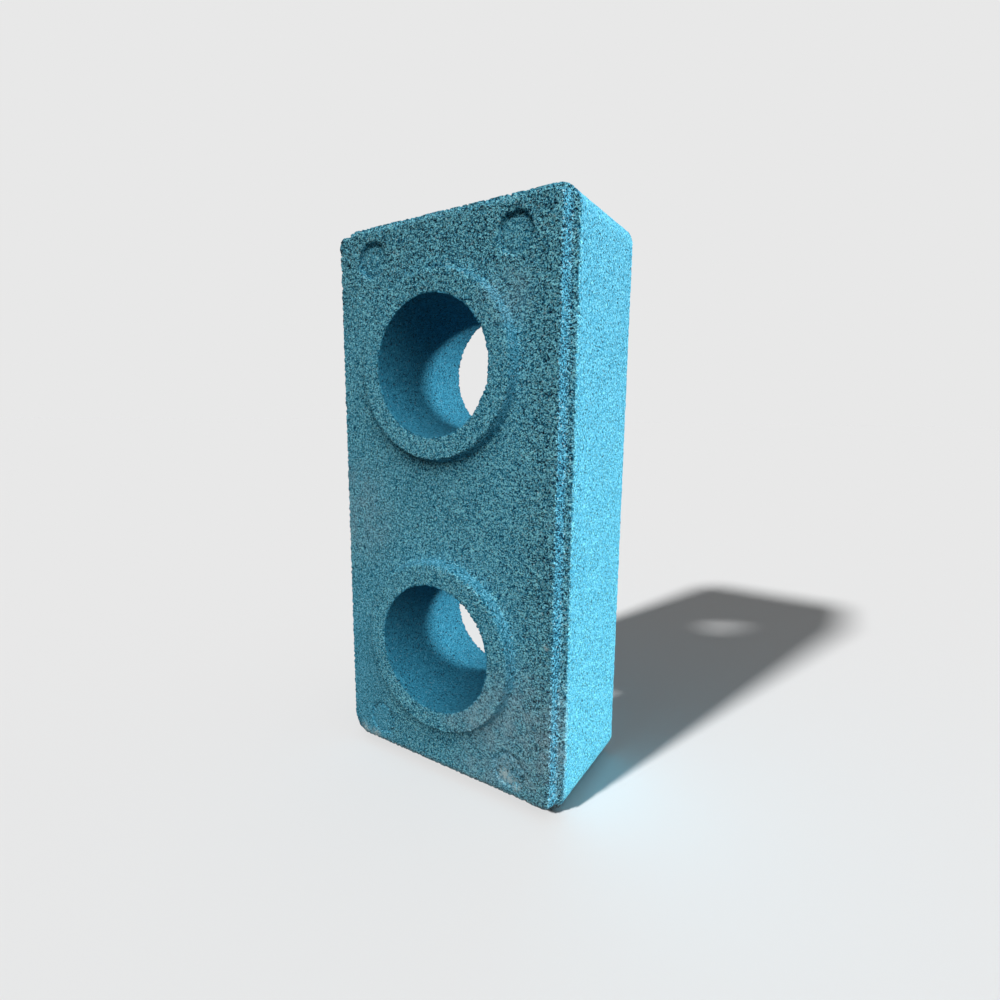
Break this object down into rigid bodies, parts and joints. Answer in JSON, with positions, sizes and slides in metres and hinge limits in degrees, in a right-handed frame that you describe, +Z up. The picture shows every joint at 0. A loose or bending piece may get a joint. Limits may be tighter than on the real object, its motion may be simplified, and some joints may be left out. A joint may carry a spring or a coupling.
{
  "type": "interlocking brick",
  "caption": "Pressed interlocking brick on its short end: through bores, a tapered ring raised round each on the bed face, matching sockets in the underside and rounded plan corners.",
  "frame": {"origin": "middle of the overall width and thickness, on the floor under the short end that the brick stands on", "axes": "+Z up along the brick's length, X across its width, -Y out of the ringed bed face, +Y out of the underside"},
  "size_m": [0.122, 0.0654, 0.25],
  "materials": {
    "brick": "matte"
  },
  "bodies": {
    "root": {"brick": "brick"}
  },
  "joints": []
}
